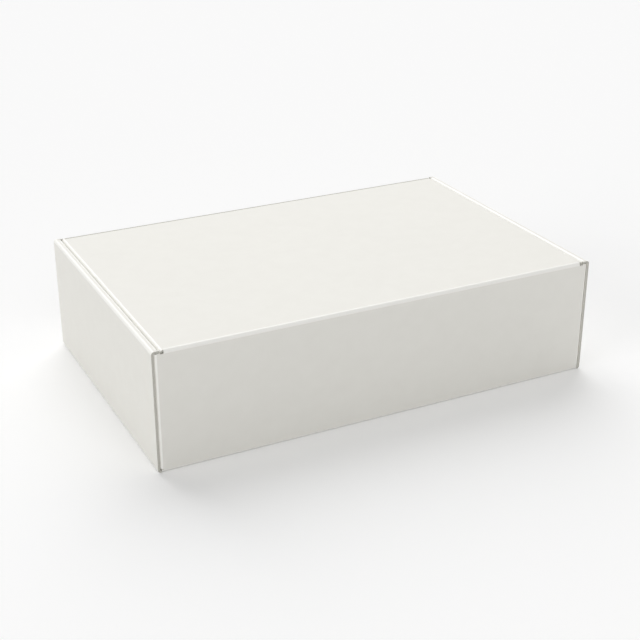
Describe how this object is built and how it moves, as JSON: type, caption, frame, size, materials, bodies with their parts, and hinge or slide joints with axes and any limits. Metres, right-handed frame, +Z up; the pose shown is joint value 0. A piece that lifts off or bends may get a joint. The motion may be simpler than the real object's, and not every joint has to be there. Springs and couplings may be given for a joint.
{
  "type": "corrugated mailer box",
  "caption": "Low rectangular mailer folded from one sheet of white corrugated board, with rolled double side walls and a hinged tuck-in lid, shown closed.",
  "frame": {"origin": "centre of the base's underside, on the surface that the box stands on", "axes": "+X along the length, +Y from the tucked front to the hinge wall, +Z up"},
  "size_m": [0.365, 0.235, 0.095],
  "materials": {
    "white_board": "matte"
  },
  "bodies": {
    "tray": {"tray": "white_board"},
    "lid": {"lid": "white_board"}
  },
  "joints": [
    {"name": "lid_hinge", "type": "hinge", "parent": "tray", "child": "lid", "pos_m": [0, 0.1168, 0.0943], "axis": [-1, 0, 0], "range_deg": [0, 180]}
  ]
}
